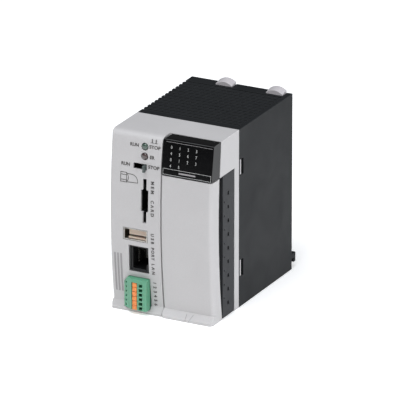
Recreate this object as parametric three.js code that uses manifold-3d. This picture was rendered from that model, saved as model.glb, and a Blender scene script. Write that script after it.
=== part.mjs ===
// A double-width controller module for a rack: a dark ventilated rear housing, a light front
// bezel with its ports and indicators, a swing door over the screw terminals, and the boards inside.
// Millimetres. X runs to the right, Y to the back, Z up. The origin is the middle of the base.

import * as THREE from 'three';
import { mergeVertices } from 'three/addons/utils/BufferGeometryUtils.js';
import Module from 'manifold-3d';

// ---- Driving dimensions ------------------------------------------------------------------------

const HALF_WIDTH = 30;
const HEIGHT = 100;
const REAR_FACE = 46;
const SEAM = -16.8;              // where the bezel meets the housing
const CLAW_TIP = 50.5;           // the rear claws set the back of the object, the plug its front
const WALL = 2;
const CLEAR = 0.3;               // gap between pieces that meet
const SLOT_PITCH = 30;           // width of one rack slot; the module takes two
const THROUGH = 1;               // how far a cutter runs past a surface

const PANEL_PEAK = -48.4;        // foremost line of the bowed front panel
const DOOR_PEAK = -48.8;         // foremost line of the bowed door
const BOW_MIDDLE = 55;           // height of that line
const BOW_FLATNESS = 740;        // twice the radius of the bow
const FLARE_TOP = 4.6;           // the base of the front runs forward below this height
const FLARE_LIP = 1.5;
const PANEL_FLARE = -47.3;
const DOOR_FLARE = -48.3;
const COLUMN_RIGHT = -0.2;       // right side of the port column
const SHELF = 80.3;              // underside of the indicator bay, just above the door
const DECK = -22;                // face that carries the terminal block

const RIB_COUNT = 12;
const RIB_PITCH = 4;
const REAR_RIB = 35.5;
const RIB_GROOVE = { width: 1.7, depth: 0.7 };
const GROOVE_END = 27.4;          // the grooves stop short of the right side
const VENTS = [[-27, -19.4], [-16.6, -9.8], [-3.7, 8], [10, 20.2]];

const SNAPS = [[17, 26.5], [74, 83]];
const SNAP_WINDOW = [-16, -11.6];
const SNAP_NOSE = [-15.1, -14.2];
const LATCH_X = [-8.3, -8.3 + SLOT_PITCH];
const LATCH = { halfWidth: 4.85, front: 40.6, back: 45.8, base: 90, edge: 101.3, crown: 104.7 };
const LATCH_SLOPE = 10;          // degrees by which the top of a latch rises to the rear
const LATCH_FOOT = { front: 38.5, height: 3 };
const SPRING = { base: 82.3, top: 89.7, radius: 2.4, wire: 0.7, turns: 5 };
const CLAW_X = [-6, -6 + SLOT_PITCH];
const CLAW_WIDTH = 6;

const PIVOT = { x: 3.4, y: -46.4 };
const DOOR = { left: 0.2, right: 30, base: 0, top: 79.9, skin: 1.6, depth: 8.4 };
const DOOR_RADII = [1.2, 2.2];
const COLUMN_RADII = [1.2, 0.5];
const HINGE_ARMS = [[38, 41], [68, 71]];
const DOOR_KNUCKLES = [[41.3, 44.8], [64.2, 67.7]];

const TERMINAL = { left: 6.3, right: 29.9, front: -40.5, step: -35.3, back: -22.3, base: 0.3, top: 79.9 };
const ROW_COUNT = 9;
const ROW_PITCH = 7.7;
const FIRST_ROW = 7.2;
const SCREW_COLUMNS = [11.2, 24.4];
const BLOCK_SCREW_X = 17.8;
const BLOCK_SCREW_Z = { bottom: 4.2, top: 75.8 };

const POLE_COUNT = 6;
const POLE_PITCH = 2.54;
const POLE_MIDDLE = 10.1;
const PLUG = { left: -22.4, bend: -16.4, right: -7.5, front: -50.5, base: 2.5, top: 19.6 };
const PLUG_SLOPE = -46.9;        // where the sloped left of the plug meets the panel
const PLUG_CHAMFER = { width: 2.6, height: 3.2 };
const PLUG_TONGUE = { x: [-20.2, -9], y: [-46.5, -40.6], z: [3.7, 18.4] };
const TEST_HOLE = { x: -20.8, radius: 0.6 };
const RELEASE = { left: -16, right: -13.3, front: -50.35, back: -47.4, height: 2.42 };
const WIRE_HOLE = { left: -12.1, right: -9.95, height: 1.76 };

const RUN_LIGHT = { x: -10.2, z: 93.5 };
const FAULT_LIGHT = { x: -10.1, z: 88.3 };
const LIGHT_HOLE = 2.1;
const SWITCH_SLOT = { left: -16.55, right: -8.65, base: 80.75, top: 84.05 };
const CARD_SLOT = { left: -10.7, right: -8.5, base: 51.4, top: 76.1 };
const CARD_GRIP = { left: -11.8, right: -7.4, base: 57.7, top: 70 };
const USB = { left: -22.2, right: -8.2, base: 40.6, top: 47.1 };
const JACK = { left: -19.4, right: -7.6, base: 22.8, top: 37.7 };

const LENS = { radius: 1.75, length: 4.6, crown: 5.3 };
const SWITCH_BODY = { x: [-17.6, -7.6], y: [-46, -36], z: [79.8, 85] };
const KNOB = { x: -9.6, z: 82.4, width: 1.2, height: 2.6, front: -48.6, back: -41.4 };
const KNOB_CAP = { front: -49.6, back: -47.8, base: 80.1, top: 83.6 };
const CARD_SOCKET = { x: [-14.8, -5.4], y: [-46.6, -20], z: [50, 77.7] };
const USB_DEPTH = [-48, -34];
const USB_WALL = 0.5;
const USB_TONGUE = { x: [-19.6, -9.1], y: [-46.3, -35.1], z: [43.2, 45.9] };
const USB_FLOOR = { x: [-19.6, -9.1], y: [-47.2, -35.1], z: [41.3, 42.2] };
const JACK_BODY = { x: [-23.6, -5.6], y: [-44.5, -30], z: [21.4, 39.2] };
const JACK_NOSE = -46.9;         // front of the part that fills the opening
const JACK_RIM = 0.9;
const JACK_CAVITY = { x: [-17.6, -9.6], y: [-48, -32.5], z: [24.3, 36.2] };
const JACK_NOTCH = { x: [-9.8, -8.1], y: [-48, -36], z: [27.2, 33.3] };
const CONTACT = { count: 8, first: 26.7, pitch: 1.02, thick: 0.4 };
const HEADER = { x: [-21.4, -7.8], y: [-43, -34], z: [2.6, 19.5] };
const HEADER_WALL = 0.75;

const GUIDE = { x: [4.2, 25.8], y: [-41.6, -33.4], z: [84.6, 96.4] };
const LAMP = { count: 14, columns: 4, x: 5.3, pitch: 4.87, top: 95.5, drop: 3.3, radius: 0.7 };
const BAY_WINDOW = { x: [3.5, 26.5], y: [-40, -34], z: [84.2, 96.8] };

const SOCKET_WINDOW = { x: [9.9, 26.1], z: [11.9, 68.1] };
const DECK_POST = { radius: 2.4, bore: 1.3, back: -16.1 };
const EYE = { outer: 1.05, bore: 0.65, swing: 1.35 };

const MAIN_BOARD = { left: -25.5, right: -23.9, front: -35, back: 42, base: 5, top: 95 };
const POWER_BOARD = { left: 12, right: 13.6, front: -8, back: 42, base: 6, top: 92 };
const BOARD_SCREWS = [[-8, 10], [-8, 90], [36, 10], [36, 90]];
const IO_SCREWS = [12, 72];
const IO_SCREW_X = 5;
const BATTERY = [-15.3, 80];

// ---- Finishes ----------------------------------------------------------------------------------

function finish(colour, roughness, metalness) {
  return new THREE.MeshStandardMaterial({ color: colour, roughness, metalness });
}

const FINISH = {
  housing: finish(0x36373a, 0.6, 0),
  bezel: finish(0xc9cbcd, 0.5, 0),
  smoked: finish(0x0c0c0d, 0.08, 0),
  latch: finish(0xc4c4c8, 0.45, 0),
  terminal: finish(0x48494a, 0.6, 0),
  green: finish(0x6cb393, 0.45, 0),
  orange: finish(0xe08a48, 0.45, 0),
  black: finish(0x151617, 0.5, 0),
  cream: finish(0xdcc9b6, 0.5, 0),
  knob: finish(0x6a716f, 0.5, 0),
  clear: finish(0xdfe6e6, 0.15, 0),
  greenLens: finish(0x7fa394, 0.2, 0),
  redLens: finish(0x7d5a58, 0.2, 0),
  board: finish(0x1f5c3a, 0.5, 0),
  steel: finish(0xb9bcbf, 0.3, 1),
  brass: finish(0xc9a85a, 0.3, 1),
  aluminium: finish(0xa9adb0, 0.4, 1),
  sleeve: finish(0x2f6f9c, 0.35, 0),
};

// ---- Solids ------------------------------------------------------------------------------------

const wasm = await Module();
wasm.setup();

function toSolid(geometry) {
  const bare = geometry.clone();
  bare.deleteAttribute('normal');
  bare.deleteAttribute('uv');
  const merged = mergeVertices(bare, 1e-4);
  return new wasm.Manifold(new wasm.Mesh({
    numProp: 3,
    vertProperties: new Float32Array(merged.attributes.position.array),
    triVerts: new Uint32Array(merged.index.array),
  }));
}

function toGeometry(solid) {
  const mesh = solid.getMesh();
  const geometry = new THREE.BufferGeometry();
  geometry.setAttribute('position', new THREE.BufferAttribute(mesh.vertProperties, 3));
  geometry.setIndex(new THREE.BufferAttribute(mesh.triVerts, 1));
  geometry.computeVertexNormals();
  return geometry;
}

function join(...solids) {
  return solids.flat().reduce((whole, piece) => whole.add(piece));
}

function cut(solid, ...cutters) {
  return cutters.flat().reduce((rest, cutter) => rest.subtract(cutter), solid);
}

function box({ x, y, z }) {
  return block(x, y, z);
}

function block([left, right], [front, back], [base, top]) {
  const geometry = new THREE.BoxGeometry(right - left, back - front, top - base);
  return toSolid(geometry.translate((left + right) / 2, (front + back) / 2, (base + top) / 2));
}

// A round bar along one axis, from start to end on that axis, through (u, v) on the other two.
function bar(axis, [u, v], radius, [start, end], sides = 16) {
  const geometry = new THREE.CylinderGeometry(radius, radius, end - start, sides);
  const middle = (start + end) / 2;
  if (axis === 'x') {
    geometry.rotateZ(-Math.PI / 2).translate(middle, u, v);
  } else if (axis === 'y') {
    geometry.translate(u, middle, v);
  } else {
    geometry.rotateX(Math.PI / 2).translate(u, v, middle);
  }
  return toSolid(geometry);
}

function extrude(shape, depth, steps = 1) {
  return new THREE.ExtrudeGeometry(shape, { depth, steps, bevelEnabled: false, curveSegments: 6 });
}

// A side profile drawn in (Y, Z), run along X.
function alongX(shape, [left, right]) {
  const axes = new THREE.Matrix4().makeBasis(
    new THREE.Vector3(0, 1, 0),
    new THREE.Vector3(0, 0, 1),
    new THREE.Vector3(1, 0, 0),
  );
  return toSolid(extrude(shape, right - left).applyMatrix4(axes).translate(left, 0, 0));
}

// A front outline drawn in (X, Z), run along Y.
function alongY(shape, [front, back]) {
  return toSolid(extrude(shape, back - front).rotateX(Math.PI / 2).translate(0, back, 0));
}

// A plan drawn in (X, Y), run up Z.
function alongZ(shape, [base, top]) {
  return toSolid(extrude(shape, top - base).translate(0, 0, base));
}

function polygon(points) {
  return new THREE.Shape(points.map(([x, y]) => new THREE.Vector2(x, y)));
}

// ---- The bow of the front ----------------------------------------------------------------------

function bow(height, peak) {
  return peak + (height - BOW_MIDDLE) ** 2 / BOW_FLATNESS;
}

// A parabola is one quadratic curve, whose control point is where its end tangents meet.
function bowTo(shape, from, to, peak) {
  const lean = (from - BOW_MIDDLE) * (to - BOW_MIDDLE) / BOW_FLATNESS;
  shape.quadraticCurveTo(peak + lean, (from + to) / 2, bow(to, peak), to);
}

// A plan run up Z and then leant back by the bow at each height.
function bowed(shape, [base, top]) {
  const steps = 8;
  const geometry = extrude(shape, top - base, steps).translate(0, 0, base);
  const position = geometry.attributes.position;
  for (let index = 0; index < position.count; index += 1) {
    const lean = bow(position.getZ(index), 0);
    position.setY(index, position.getY(index) + lean);
  }
  return toSolid(geometry);
}

// A plan with two rounded front corners.
function roundedPlan([left, right], [front, back], leftRadius, rightRadius) {
  const shape = new THREE.Shape();
  shape.moveTo(left, back);
  shape.lineTo(left, front + leftRadius);
  shape.absarc(left + leftRadius, front + leftRadius, leftRadius, Math.PI, 1.5 * Math.PI);
  shape.lineTo(right - rightRadius, front);
  shape.absarc(right - rightRadius, front + rightRadius, rightRadius, -0.5 * Math.PI, 0);
  shape.lineTo(right, back);
  shape.closePath();
  return shape;
}

// The lip at the base of the front: it runs forward from the bow to its own front line.
function flare([left, right], front, peak, radii) {
  const root = bow(FLARE_TOP, peak) + WALL;
  const profile = polygon([
    [root, 0], [front, 0], [front, FLARE_LIP], [bow(FLARE_TOP, peak), FLARE_TOP], [root, FLARE_TOP],
  ]);
  const plan = roundedPlan([left, right], [front, root + THROUGH], ...radii);
  return alongX(profile, [left, right]).intersect(alongZ(plan, [-THROUGH, FLARE_TOP + THROUGH]));
}

// ---- Rear housing ------------------------------------------------------------------------------

function ventedTop() {
  const cutters = [];
  for (let row = 0; row <= RIB_COUNT; row += 1) {
    const middle = REAR_RIB + RIB_PITCH / 2 - row * RIB_PITCH;
    const across = [middle - RIB_GROOVE.width / 2, middle + RIB_GROOVE.width / 2];
    const groove = [HEIGHT - RIB_GROOVE.depth, HEIGHT + THROUGH];
    cutters.push(block([-HALF_WIDTH - THROUGH, GROOVE_END], across, groove));
    if (row > 0) {
      const slot = [middle - 0.7, middle + 0.7];
      VENTS.forEach((vent) => cutters.push(block(vent, slot, [HEIGHT - 4, HEIGHT])));
    }
  }
  return join(cutters);
}

function ventedBase() {
  const cutters = [];
  for (let row = 0; row < 9; row += 1) {
    const middle = 30 - row * RIB_PITCH;
    [[-20, -2], [2, 20]].forEach((vent) => {
      cutters.push(block(vent, [middle - 0.8, middle + 0.8], [-THROUGH, WALL + THROUGH]));
    });
  }
  return join(cutters);
}

function claw(left) {
  const across = [left, left + CLAW_WIDTH];
  return join(
    block(across, [REAR_FACE - THROUGH, CLAW_TIP], [5.8, 8.6]),
    block(across, [CLAW_TIP - 2, CLAW_TIP], [3.3, 6]),
  );
}

function latchPocket(middle) {
  const half = LATCH.halfWidth + CLEAR;
  const across = [middle - half, middle + half];
  return block(across, [LATCH.front - CLEAR, REAR_FACE + THROUGH], [86, HEIGHT + THROUGH]);
}

function springShelf(middle) {
  return block([middle - 4, middle + 4], [37, REAR_FACE - WALL + THROUGH], [79.5, SPRING.base - CLEAR]);
}

function boardRails() {
  const sides = [
    [POWER_BOARD.left - 1.2, POWER_BOARD.left - CLEAR],
    [POWER_BOARD.right + CLEAR, POWER_BOARD.right + 1.2],
  ];
  return sides.flatMap((across) => [
    block(across, [-5, 40], [WALL - 0.5, POWER_BOARD.base + 2]),
    block(across, [-5, 34], [POWER_BOARD.top - 2, HEIGHT - WALL]),
  ]);
}

function rearHousing() {
  const inner = HALF_WIDTH - WALL;
  const front = SEAM + CLEAR / 2;
  const shell = cut(
    block([-HALF_WIDTH, HALF_WIDTH], [front, REAR_FACE], [0, HEIGHT]),
    block([-inner, inner], [front - THROUGH, REAR_FACE - WALL], [WALL, HEIGHT - 2.6]),
  );
  const bosses = BOARD_SCREWS.map((place) => bar('x', place, 2.6, [-inner - 0.5, MAIN_BOARD.left - CLEAR]));
  const bores = BOARD_SCREWS.map((place) => bar('x', place, 1.3, [-inner + 0.2, MAIN_BOARD.left]));
  const snaps = SNAPS.flatMap((span) => [
    block([-HALF_WIDTH - THROUGH, -inner + THROUGH], SNAP_WINDOW, span),
    block([inner - THROUGH, HALF_WIDTH + THROUGH], SNAP_WINDOW, span),
  ]);
  const connector = block([-22.3, -7.7], [REAR_FACE - 2 * WALL, REAR_FACE + THROUGH], [35.7, 64.3]);
  const filled = join(shell, bosses, boardRails(), LATCH_X.map(springShelf), CLAW_X.map(claw));
  return cut(filled, bores, snaps, connector, LATCH_X.map(latchPocket), ventedTop(), ventedBase());
}

// ---- Front bezel -------------------------------------------------------------------------------

const BEZEL_BACK = SEAM - CLEAR / 2;

// The side profile of the port column: base, bowed front, rounded top edge, top.
function columnProfile() {
  const shape = new THREE.Shape();
  shape.moveTo(BEZEL_BACK, 0);
  shape.lineTo(bow(0, PANEL_PEAK), 0);
  bowTo(shape, 0, 94.5, PANEL_PEAK);
  shape.quadraticCurveTo(bow(99, PANEL_PEAK) - 0.3, HEIGHT, -41.3, HEIGHT);
  shape.lineTo(BEZEL_BACK, HEIGHT);
  shape.closePath();
  return shape;
}

function columnHollow() {
  const shape = new THREE.Shape();
  shape.moveTo(BEZEL_BACK + THROUGH, WALL);
  shape.lineTo(bow(6, PANEL_PEAK + WALL), WALL);
  shape.lineTo(bow(6, PANEL_PEAK + WALL), 6);
  bowTo(shape, 6, 93.5, PANEL_PEAK + WALL);
  shape.lineTo(-41.5, HEIGHT - WALL);
  shape.lineTo(BEZEL_BACK + THROUGH, HEIGHT - WALL);
  shape.closePath();
  return shape;
}

function portColumn() {
  const across = [-HALF_WIDTH, COLUMN_RIGHT];
  const plan = roundedPlan(across, [PANEL_PEAK, 0], ...COLUMN_RADII);
  const skin = alongX(columnProfile(), across).intersect(bowed(plan, [-THROUGH, HEIGHT + THROUGH]));
  const hollow = alongX(columnHollow(), [-HALF_WIDTH + WALL, COLUMN_RIGHT - WALL]);
  return cut(join(skin, flare(across, PANEL_FLARE, PANEL_PEAK, COLUMN_RADII)), hollow);
}

// The bay behind the indicator cover leans forward as it comes down.
function bayFront(inset) {
  return [[-37.2 + inset, HEIGHT - inset], [-38.9 + inset, SHELF + inset]];
}

function indicatorBay() {
  const back = BEZEL_BACK;
  const outer = polygon([[back, HEIGHT], ...bayFront(0), [back, SHELF]]);
  const behind = back + THROUGH;
  const inner = polygon([[behind, HEIGHT - WALL], ...bayFront(WALL), [behind, SHELF + WALL]]);
  const bay = alongX(outer, [COLUMN_RIGHT - THROUGH, HALF_WIDTH]);
  return cut(bay, alongX(inner, [COLUMN_RIGHT, HALF_WIDTH - WALL]), box(BAY_WINDOW));
}

function terminalDeck() {
  const deck = cut(
    block([COLUMN_RIGHT - THROUGH, HALF_WIDTH], [DECK, BEZEL_BACK], [0, SHELF + THROUGH]),
    block([COLUMN_RIGHT, HALF_WIDTH - WALL], [DECK + WALL, BEZEL_BACK + THROUGH], [WALL, SHELF + WALL]),
  );
  const { radius, bore, back } = DECK_POST;
  const posts = IO_SCREWS.map((height) => bar('y', [IO_SCREW_X, height], radius, [DECK + 1, back]));
  const depth = [DECK + 1.5, back + THROUGH];
  const bores = IO_SCREWS.map((height) => bar('y', [IO_SCREW_X, height], bore, depth));
  const screwHoles = Object.values(BLOCK_SCREW_Z).map((height) => (
    bar('y', [BLOCK_SCREW_X, height], 1.6, [DECK - THROUGH, DECK + WALL + 3])
  ));
  const socketWindow = block(SOCKET_WINDOW.x, [DECK - THROUGH, DECK + WALL + THROUGH], SOCKET_WINDOW.z);
  return cut(join(deck, posts), bores, screwHoles, socketWindow);
}

// Each hinge arm comes round behind the swing of the door's edge and ends in an eye.
function hingeArm(span) {
  const arm = join(
    block([COLUMN_RIGHT - THROUGH, 5.4], [-42.6, -40.9], span),
    block([3.7, 5.4], [-46.4, -41], span),
    bar('z', [PIVOT.x, PIVOT.y], EYE.outer, span, 20),
  );
  return cut(arm, bar('z', [PIVOT.x, PIVOT.y], EYE.bore, [span[0] - THROUGH, span[1] + THROUGH]));
}

function snapTab(side, [base, top]) {
  const lower = base + 0.4;
  const upper = top - 0.4;
  const across = (inner, outer) => (side > 0 ? [inner, outer] : [-outer, -inner]);
  return join(
    block(across(26.2, 27.7), [-19.5, SNAP_NOSE[1]], [lower, upper]),
    block(across(26.2, 28.5), [-19.5, -17.1], [lower, upper]),
    block(across(27.6, 29.8), SNAP_NOSE, [lower, upper]),
  );
}

// The front outline of the plug, whose upper left corner is cut off, grown by a margin.
function plugOutline(margin) {
  const { left, right, base, top } = PLUG;
  return polygon([
    [right + margin, base - margin],
    [right + margin, top + margin],
    [left + PLUG_CHAMFER.width, top + margin],
    [left - margin, top - PLUG_CHAMFER.height],
    [left - margin, base - margin],
  ]);
}

function portHoles() {
  const front = [PANEL_PEAK - 2, -41];
  const around = ([low, high]) => [low - CLEAR, high + CLEAR];
  const pocket = ({ x, y, z }) => block(around(x), [y[0] - CLEAR, -41], around(z));
  const hole = (port) => block([port.left, port.right], front, [port.base, port.top]);
  return [
    bar('y', [RUN_LIGHT.x, RUN_LIGHT.z], LIGHT_HOLE, front, 20),
    bar('y', [FAULT_LIGHT.x, FAULT_LIGHT.z], LIGHT_HOLE, front, 20),
    pocket(SWITCH_BODY),
    pocket(CARD_SOCKET),
    hole(SWITCH_SLOT),
    hole(CARD_SLOT),
    hole(CARD_GRIP),
    block([USB.left - CLEAR, USB.right + CLEAR], front, [USB.base - CLEAR, USB.top + CLEAR]),
    hole(JACK),
    alongY(plugOutline(CLEAR), front),
  ];
}

function frontBezel() {
  const tabs = SNAPS.flatMap((span) => [snapTab(-1, span), snapTab(1, span)]);
  const shell = join(portColumn(), indicatorBay(), terminalDeck(), HINGE_ARMS.map(hingeArm), tabs);
  return cut(shell, portHoles());
}

// ---- Indicators and ports ----------------------------------------------------------------------

function indicatorCover() {
  const outer = new THREE.Shape();
  outer.moveTo(-37.5, 99.8);
  outer.lineTo(-39.2, SHELF + 0.2);
  outer.lineTo(-48.2, SHELF + 0.2);
  outer.lineTo(-45.4, 98.5);
  outer.quadraticCurveTo(-45.2, 99.8, -44, 99.8);
  outer.closePath();
  const inner = polygon([[-36, 98.4], [-36, 82], [-46.5, 82], [-44.1, 98.4]]);
  const face = new THREE.Shape();
  face.moveTo(0.4, SHELF);
  face.lineTo(29.8, SHELF);
  face.lineTo(29.8, HEIGHT);
  face.lineTo(1.9, HEIGHT);
  face.absarc(1.9, 98.3, 1.5, 0.5 * Math.PI, Math.PI);
  face.closePath();
  const skin = alongX(outer, [0.4, 29.8]).intersect(alongY(face, [-50, -30]));
  return cut(skin, alongX(inner, [1.9, 28.3]));
}

// Fourteen light pipes on one moulded carrier: three rows of four and one of two.
function indicatorGuide() {
  const front = GUIDE.y[0];
  const pipes = Array.from({ length: LAMP.count }, (_, lamp) => {
    const across = LAMP.x + (lamp % LAMP.columns) * LAMP.pitch;
    const height = LAMP.top - Math.floor(lamp / LAMP.columns) * LAMP.drop;
    return bar('y', [across, height], LAMP.radius, [front - 2, front + 0.2], 8);
  });
  return join(box(GUIDE), pipes);
}

function lens() {
  const profile = new THREE.Path();
  profile.moveTo(0, 0);
  profile.lineTo(LENS.radius, 0);
  profile.lineTo(LENS.radius, LENS.length);
  profile.quadraticCurveTo(LENS.radius * 0.85, LENS.crown, 0, LENS.crown);
  const geometry = new THREE.LatheGeometry(profile.getPoints(4), 20);
  return toSolid(geometry.rotateX(Math.PI));
}

function modeSwitchBody() {
  return cut(
    box(SWITCH_BODY),
    block([SWITCH_SLOT.left, SWITCH_SLOT.right], [-47, -41], [SWITCH_SLOT.base, SWITCH_SLOT.top]),
  );
}

function modeKnob() {
  const across = [KNOB.x - KNOB.width / 2, KNOB.x + KNOB.width / 2];
  return join(
    block(across, [KNOB.front, KNOB.back], [KNOB.z - KNOB.height / 2, KNOB.z + KNOB.height / 2]),
    block(across, [KNOB_CAP.front, KNOB_CAP.back], [KNOB_CAP.base, KNOB_CAP.top]),
  );
}

function cardSocket() {
  return cut(
    box(CARD_SOCKET),
    block([CARD_SLOT.left, CARD_SLOT.right], [-47, -22], [CARD_SLOT.base, CARD_SLOT.top]),
    block([CARD_GRIP.left, CARD_GRIP.right], [-47, -38], [CARD_GRIP.base, CARD_GRIP.top]),
  );
}

function usbShell() {
  const { left, right, base, top } = USB;
  return cut(
    block([left, right], USB_DEPTH, [base, top]),
    block(
      [left + USB_WALL, right - USB_WALL],
      [USB_DEPTH[0] - THROUGH, USB_DEPTH[1] - USB_WALL],
      [base + USB_WALL, top - USB_WALL],
    ),
  );
}

// The insulator: a tongue above a floor, joined at the back.
function usbTongue() {
  const { x, y: [, end], z: [, top] } = USB_TONGUE;
  const back = block(x, [end - WALL, end], [USB_FLOOR.z[0], top]);
  return join(box(USB_TONGUE), box(USB_FLOOR), back);
}

// The socket lies on its side, so its latch notch is on the right.
function networkJack() {
  const { left, right, base, top } = JACK;
  const nose = block(
    [left + CLEAR, right - CLEAR],
    [JACK_NOSE, JACK_BODY.y[0] + THROUGH],
    [base + CLEAR, top - CLEAR],
  );
  const mouth = block(
    [left + JACK_RIM, right - JACK_RIM],
    [JACK_NOSE - THROUGH, JACK_NOSE + JACK_RIM],
    [base + JACK_RIM, top - JACK_RIM],
  );
  return cut(join(box(JACK_BODY), nose), mouth, box(JACK_CAVITY), box(JACK_NOTCH));
}

function networkContacts() {
  const { count, first, pitch, thick } = CONTACT;
  const blades = Array.from({ length: count }, (_, wire) => {
    const height = first + wire * pitch;
    return block([-17.2, -16.4], [-41, -32.9], [height - thick / 2, height + thick / 2]);
  });
  return join(block([-17.2, -15.2], [-33.6, -32.8], [25.8, 34.8]), blades);
}

function plugHeader() {
  const { x, y, z } = HEADER;
  const inside = ([low, high]) => [low + HEADER_WALL, high - HEADER_WALL];
  return cut(box(HEADER), block(inside(x), [y[0] - THROUGH, y[1] - HEADER_WALL], inside(z)));
}

function poleHeight(pole) {
  return POLE_MIDDLE + (pole - (POLE_COUNT - 1) / 2) * POLE_PITCH;
}

function poles() {
  return Array.from({ length: POLE_COUNT }, (_, pole) => poleHeight(pole));
}

function headerPins() {
  const pins = poles().map((height) => bar('y', [-14.5, height], 0.4, [-40.2, -35.6], 8));
  return join(block([-15.2, -13.8], [-35.9, -35.3], [3.7, 16.9]), pins);
}

// ---- The plug ----------------------------------------------------------------------------------

function fieldPlug() {
  const plan = polygon([
    [PLUG.right, -46],
    [PLUG.right, PLUG.front],
    [PLUG.bend, PLUG.front],
    [PLUG.left, PLUG_SLOPE],
    [PLUG.left, -46],
  ]);
  const outline = alongY(plugOutline(0), [PLUG.front - THROUGH, -45]);
  const shaped = alongZ(plan, [PLUG.base, PLUG.top]).intersect(outline);
  const body = join(shaped, box(PLUG_TONGUE));
  const channel = block([RELEASE.left - CLEAR, RELEASE.right + CLEAR], [-52, -46], [1, 17.8]);
  const { left, right, height: opening } = WIRE_HOLE;
  const holes = poles().flatMap((height) => [
    block([left, right], [-52, -42], [height - opening / 2, height + opening / 2]),
    bar('y', [TEST_HOLE.x, height], TEST_HOLE.radius, [-50, -46.2], 8),
  ]);
  return cut(body, channel, holes);
}

function releaseButton() {
  const width = RELEASE.right - RELEASE.left;
  const depth = RELEASE.back - RELEASE.front;
  return block([-width / 2, width / 2], [0, depth], [-RELEASE.height / 2, RELEASE.height / 2]);
}

// ---- Door and terminals ------------------------------------------------------------------------

function terminalDoor() {
  const { left, right, base, top, skin } = DOOR;
  const back = DOOR_PEAK + DOOR.depth;
  const outer = roundedPlan([left, right], [DOOR_PEAK, back], ...DOOR_RADII);
  const inner = roundedPlan(
    [left - THROUGH, right - skin],
    [DOOR_PEAK + skin, back + THROUGH],
    DOOR_RADII[0],
    DOOR_RADII[1] - skin / 2,
  );
  const shell = join(
    bowed(outer, [base, top]),
    flare([left, right], DOOR_FLARE, DOOR_PEAK, DOOR_RADII),
  );
  const edges = cut(shell, bowed(inner, [base + skin, top - skin]));
  const swing = bar('z', [PIVOT.x, PIVOT.y], EYE.swing, [36, 73], 20);
  const trimmed = cut(edges, block([left - THROUGH, right - skin], [-43.4, -30], [-THROUGH, HEIGHT]), swing);
  const knuckles = DOOR_KNUCKLES.map((span) => join(
    bar('z', [PIVOT.x, PIVOT.y], EYE.outer, span, 20),
    block([PIVOT.x - 0.9, PIVOT.x + 0.9], [-48, PIVOT.y], span),
  ));
  return cut(join(trimmed, knuckles), bar('z', [PIVOT.x, PIVOT.y], EYE.bore, [37, 72]));
}

function terminalBlock() {
  const { left, right, front, step, back, base, top } = TERMINAL;
  const body = join(
    block([left, right], [step, back], [base, top]),
    block([left, right - 1.9], [front, step + THROUGH], [base, top]),
  );
  const wells = [];
  const sideHoles = [];
  for (let row = 0; row < ROW_COUNT; row += 1) {
    const height = FIRST_ROW + row * ROW_PITCH;
    const around = (half) => [height - half, height + half];
    SCREW_COLUMNS.forEach((column) => {
      wells.push(block([column - 2.9, column + 2.9], [front - THROUGH, front + 3.5], around(3.2)));
    });
    sideHoles.push(block([right - 3, right + THROUGH], [-29.9, -28.1], around(1.1)));
    if (row < ROW_COUNT - 1) {
      sideHoles.push(bar('x', [-33.6, height + 3.9], 0.6, [right - 3, right + THROUGH], 8));
    }
  }
  const screws = Object.values(BLOCK_SCREW_Z).flatMap((height) => [
    bar('y', [BLOCK_SCREW_X, height], 2.8, [front - THROUGH, front + 4]),
    bar('y', [BLOCK_SCREW_X, height], 1.6, [front, back + THROUGH]),
  ]);
  const socket = block(SOCKET_WINDOW.x, [-26, back + THROUGH], SOCKET_WINDOW.z);
  return cut(body, wells, sideHoles, screws, socket);
}

function terminalSocket() {
  return block([10.3, 25.7], [-25.6, -16.2], [12.4, 67.6]);
}

// A pan-head screw along Y, head at the front, with a driver slot.
function screw(headRadius, headLength, shankRadius, shankLength) {
  const solid = join(
    bar('y', [0, 0], headRadius, [0, headLength]),
    bar('y', [0, 0], shankRadius, [headLength - 0.2, headLength + shankLength]),
  );
  return cut(solid, block([-headRadius, headRadius], [-THROUGH, headLength * 0.4], [-0.3, 0.3]));
}

// ---- Latches -----------------------------------------------------------------------------------

// A crowned push button over a hook that reaches out through the rear wall.
function lockButton() {
  const { halfWidth, front, back, base, edge, crown } = LATCH;
  const across = [-halfWidth, halfWidth];
  const face = new THREE.Shape();
  face.moveTo(-halfWidth, base - THROUGH);
  face.lineTo(halfWidth, base - THROUGH);
  face.lineTo(halfWidth, edge);
  face.quadraticCurveTo(0, crown, -halfWidth, edge);
  face.closePath();
  const sloped = alongY(face, [front - THROUGH, back + THROUGH])
    .translate([0, -back, -HEIGHT])
    .rotate([LATCH_SLOPE, 0, 0])
    .translate([0, back, HEIGHT]);
  return join(
    sloped.intersect(block(across, [front, back], [base, HEIGHT + 3])),
    block(across, [LATCH_FOOT.front, back], [base, base + LATCH_FOOT.height]),
    block([-3, 3], [LATCH.back - THROUGH, 50.2], [91, 93.8]),
    block([-3, 3], [48.4, 50.2], [93, 96]),
  );
}

function latchSpring() {
  const points = [];
  const steps = SPRING.turns * 8;
  const rise = SPRING.top - SPRING.base - SPRING.wire;
  for (let step = 0; step <= steps; step += 1) {
    const angle = (step / 8) * 2 * Math.PI;
    const height = SPRING.wire / 2 + rise * step / steps;
    points.push(new THREE.Vector3(SPRING.radius * Math.cos(angle), SPRING.radius * Math.sin(angle), height));
  }
  const section = new THREE.Shape().absarc(0, 0, SPRING.wire / 2, 0, 2 * Math.PI);
  const extrudePath = new THREE.CatmullRomCurve3(points);
  return toSolid(new THREE.ExtrudeGeometry(section, { steps, extrudePath, curveSegments: 3 }));
}

// ---- Boards and what they carry ----------------------------------------------------------------

function mainBoard() {
  const { left, right, front, back, base, top } = MAIN_BOARD;
  const holes = BOARD_SCREWS.map((place) => bar('x', place, 1.4, [left - THROUGH, right + THROUGH]));
  return cut(block([left, right], [front, back], [base, top]), holes);
}

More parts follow.
